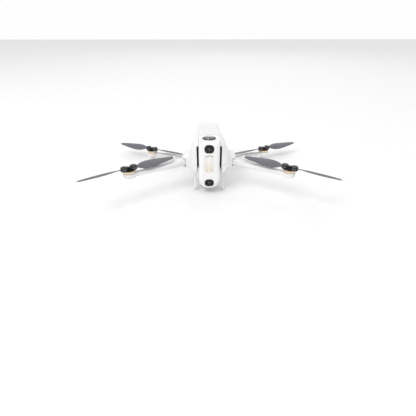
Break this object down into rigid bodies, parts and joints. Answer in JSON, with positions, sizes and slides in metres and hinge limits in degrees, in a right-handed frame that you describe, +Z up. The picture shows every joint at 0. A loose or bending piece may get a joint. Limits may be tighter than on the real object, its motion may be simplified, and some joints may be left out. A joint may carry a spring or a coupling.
{
  "type": "folding quadcopter drone",
  "caption": "Small folding camera drone, white, with an upright twin-lens pod, hinged arms with motors and folding propellers, drop-down front legs and a slide-out battery.",
  "frame": {"origin": "on the floor, under the middle of the open footprint, propellers included", "axes": "+X to the right of someone facing the camera pod, the pod faces -Y, +Z up"},
  "size_m": [0.3574, 0.2312, 0.0892],
  "materials": {
    "white_shell": "smooth satin white moulding",
    "white_pod": "smooth white moulding",
    "white_arm": "smooth satin white moulding",
    "inlay": "glossy pearl cream",
    "black_gloss": "glossy black window",
    "black_plastic": "black",
    "blade": "dark grey with pale tips",
    "lens_glass": "coated dark glass",
    "bell_metal": "champagne anodised",
    "stator": "wound core",
    "steel": "bright",
    "rubber": "soft grey",
    "frame_metal": "die-cast",
    "board": "circuit board",
    "cells": "pouch cells"
  },
  "bodies": {
    "airframe": {"upper_shell": "white_shell", "lower_shell": "white_shell", "hinge_pins": "steel", "body_screws": "steel", "inner_frame": "frame_metal", "main_board": "board", "port_block": "steel", "heat_sink": "frame_metal", "fan_housing": "black_plastic", "intake_trims": "black_plastic", "vent_grilles": "black_plastic", "belly_window": "black_gloss", "pod_face": "white_pod", "pod_housing": "white_pod", "vision_windows": "black_gloss", "pod_inlay": "inlay", "lens_rings": "black_plastic", "lens_domes": "lens_glass", "lens_barrels": "black_plastic", "pod_dampers": "rubber"},
    "fan": {"fan_rotor": "black_plastic"},
    "port_cover": {"port_cover": "white_shell"},
    "leg_right": {"leg_right": "white_arm"},
    "arm_front_right": {"arm_front_right": "white_arm", "stator_front_right": "stator"},
    "prop_front_right": {"bell_front_right": "bell_metal", "hub_front_right": "black_plastic", "hub_screws_front_right": "steel"},
    "blade_front_outer_right": {"blade_front_outer_right": "blade"},
    "blade_front_inner_right": {"blade_front_inner_right": "blade"},
    "arm_rear_right": {"arm_rear_right": "white_arm", "stator_rear_right": "stator", "rear_foot_right": "rubber"},
    "prop_rear_right": {"bell_rear_right": "bell_metal", "hub_rear_right": "black_plastic", "hub_screws_rear_right": "steel"},
    "blade_rear_outer_right": {"blade_rear_outer_right": "blade"},
    "blade_rear_inner_right": {"blade_rear_inner_right": "blade"},
    "leg_left": {"leg_left": "white_arm"},
    "arm_front_left": {"arm_front_left": "white_arm", "stator_front_left": "stator"},
    "prop_front_left": {"bell_front_left": "bell_metal", "hub_front_left": "black_plastic", "hub_screws_front_left": "steel"},
    "blade_front_outer_left": {"blade_front_outer_left": "blade"},
    "blade_front_inner_left": {"blade_front_inner_left": "blade"},
    "arm_rear_left": {"arm_rear_left": "white_arm", "stator_rear_left": "stator", "rear_foot_left": "rubber"},
    "prop_rear_left": {"bell_rear_left": "bell_metal", "hub_rear_left": "black_plastic", "hub_screws_rear_left": "steel"},
    "blade_rear_outer_left": {"blade_rear_outer_left": "blade"},
    "blade_rear_inner_left": {"blade_rear_inner_left": "blade"},
    "battery": {"battery_case": "white_shell", "battery_cells": "cells"},
    "power_button": {"power_button": "black_plastic"},
    "battery_latch_right": {"battery_latch_right": "white_shell"},
    "battery_latch_left": {"battery_latch_left": "white_shell"}
  },
  "joints": [
    {"name": "fan_spin", "type": "hinge", "parent": "airframe", "child": "fan", "pos_m": [0, -0.01833, 0.0534], "axis": [0, 1, 0], "continuous": true},
    {"name": "port_cover_hinge", "type": "hinge", "parent": "airframe", "child": "port_cover", "pos_m": [-0.02278, 0.04567, 0.0349], "axis": [0, -1, 0], "range_deg": [0, 100]},
    {"name": "leg_right_fold", "type": "hinge", "parent": "airframe", "child": "leg_right", "pos_m": [0.0223, -0.03533, 0.0335], "axis": [1, 0, 0], "range_deg": [0, 90]},
    {"name": "arm_front_right_fold", "type": "hinge", "parent": "airframe", "child": "arm_front_right", "pos_m": [0.031, -0.02333, 0.04425], "axis": [0, 0, 1], "range_deg": [0, 113.8]},
    {"name": "prop_front_right_spin", "type": "hinge", "parent": "arm_front_right", "child": "prop_front_right", "pos_m": [0.115, -0.07233, 0.0529], "axis": [0, 0, -1], "continuous": true},
    {"name": "blade_front_outer_right_fold", "type": "hinge", "parent": "prop_front_right", "child": "blade_front_outer_right", "pos_m": [0.1208, -0.07624, 0.0529], "axis": [0, 0, 1], "range_deg": [-80, 80]},
    {"name": "blade_front_inner_right_fold", "type": "hinge", "parent": "prop_front_right", "child": "blade_front_inner_right", "pos_m": [0.1092, -0.06841, 0.0529], "axis": [0, 0, -1], "range_deg": [-80, 80]},
    {"name": "arm_rear_right_fold", "type": "hinge", "parent": "airframe", "child": "arm_rear_right", "pos_m": [0.024, 0.06767, 0.011], "axis": [0, 0, -1], "range_deg": [0, 89.6]},
    {"name": "prop_rear_right_spin", "type": "hinge", "parent": "arm_rear_right", "child": "prop_rear_right", "pos_m": [0.108, 0.08267, 0.0214], "axis": [0, 0, 1], "continuous": true},
    {"name": "blade_rear_outer_right_fold", "type": "hinge", "parent": "prop_rear_right", "child": "blade_rear_outer_right", "pos_m": [0.11434, 0.08563, 0.0214], "axis": [0, 0, -1], "range_deg": [-80, 80]},
    {"name": "blade_rear_inner_right_fold", "type": "hinge", "parent": "prop_rear_right", "child": "blade_rear_inner_right", "pos_m": [0.10166, 0.07971, 0.0214], "axis": [0, 0, 1], "range_deg": [-80, 80]},
    {"name": "leg_left_fold", "type": "hinge", "parent": "airframe", "child": "leg_left", "pos_m": [-0.0223, -0.03533, 0.0335], "axis": [1, 0, 0], "range_deg": [0, 90]},
    {"name": "arm_front_left_fold", "type": "hinge", "parent": "airframe", "child": "arm_front_left", "pos_m": [-0.031, -0.02333, 0.04425], "axis": [0, 0, -1], "range_deg": [0, 113.8]},
    {"name": "prop_front_left_spin", "type": "hinge", "parent": "arm_front_left", "child": "prop_front_left", "pos_m": [-0.115, -0.07233, 0.0529], "axis": [0, 0, 1], "continuous": true},
    {"name": "blade_front_outer_left_fold", "type": "hinge", "parent": "prop_front_left", "child": "blade_front_outer_left", "pos_m": [-0.1208, -0.07624, 0.0529], "axis": [0, 0, -1], "range_deg": [-80, 80]},
    {"name": "blade_front_inner_left_fold", "type": "hinge", "parent": "prop_front_left", "child": "blade_front_inner_left", "pos_m": [-0.1092, -0.06841, 0.0529], "axis": [0, 0, 1], "range_deg": [-80, 80]},
    {"name": "arm_rear_left_fold", "type": "hinge", "parent": "airframe", "child": "arm_rear_left", "pos_m": [-0.024, 0.06767, 0.011], "axis": [0, 0, 1], "range_deg": [0, 89.6]},
    {"name": "prop_rear_left_spin", "type": "hinge", "parent": "arm_rear_left", "child": "prop_rear_left", "pos_m": [-0.108, 0.08267, 0.0214], "axis": [0, 0, -1], "continuous": true},
    {"name": "blade_rear_outer_left_fold", "type": "hinge", "parent": "prop_rear_left", "child": "blade_rear_outer_left", "pos_m": [-0.11434, 0.08563, 0.0214], "axis": [0, 0, 1], "range_deg": [-80, 80]},
    {"name": "blade_rear_inner_left_fold", "type": "hinge", "parent": "prop_rear_left", "child": "blade_rear_inner_left", "pos_m": [-0.10166, 0.07971, 0.0214], "axis": [0, 0, -1], "range_deg": [-80, 80]},
    {"name": "battery_slide", "type": "slide", "parent": "airframe", "child": "battery", "axis": [0, 1, 0], "range_m": [0, 0.09]},
    {"name": "power_button_press", "type": "slide", "parent": "battery", "child": "power_button", "axis": [0, -1, 0], "range_m": [0, 0.0008], "stiffness_N_per_m": 400, "springref_m": -0.0005},
    {"name": "battery_latch_right_press", "type": "slide", "parent": "battery", "child": "battery_latch_right", "axis": [-1, 0, 0], "range_m": [0, 0.0015], "stiffness_N_per_m": 400, "springref_m": -0.0008},
    {"name": "battery_latch_left_press", "type": "slide", "parent": "battery", "child": "battery_latch_left", "axis": [1, 0, 0], "range_m": [0, 0.0015], "stiffness_N_per_m": 400, "springref_m": -0.0008}
  ]
}
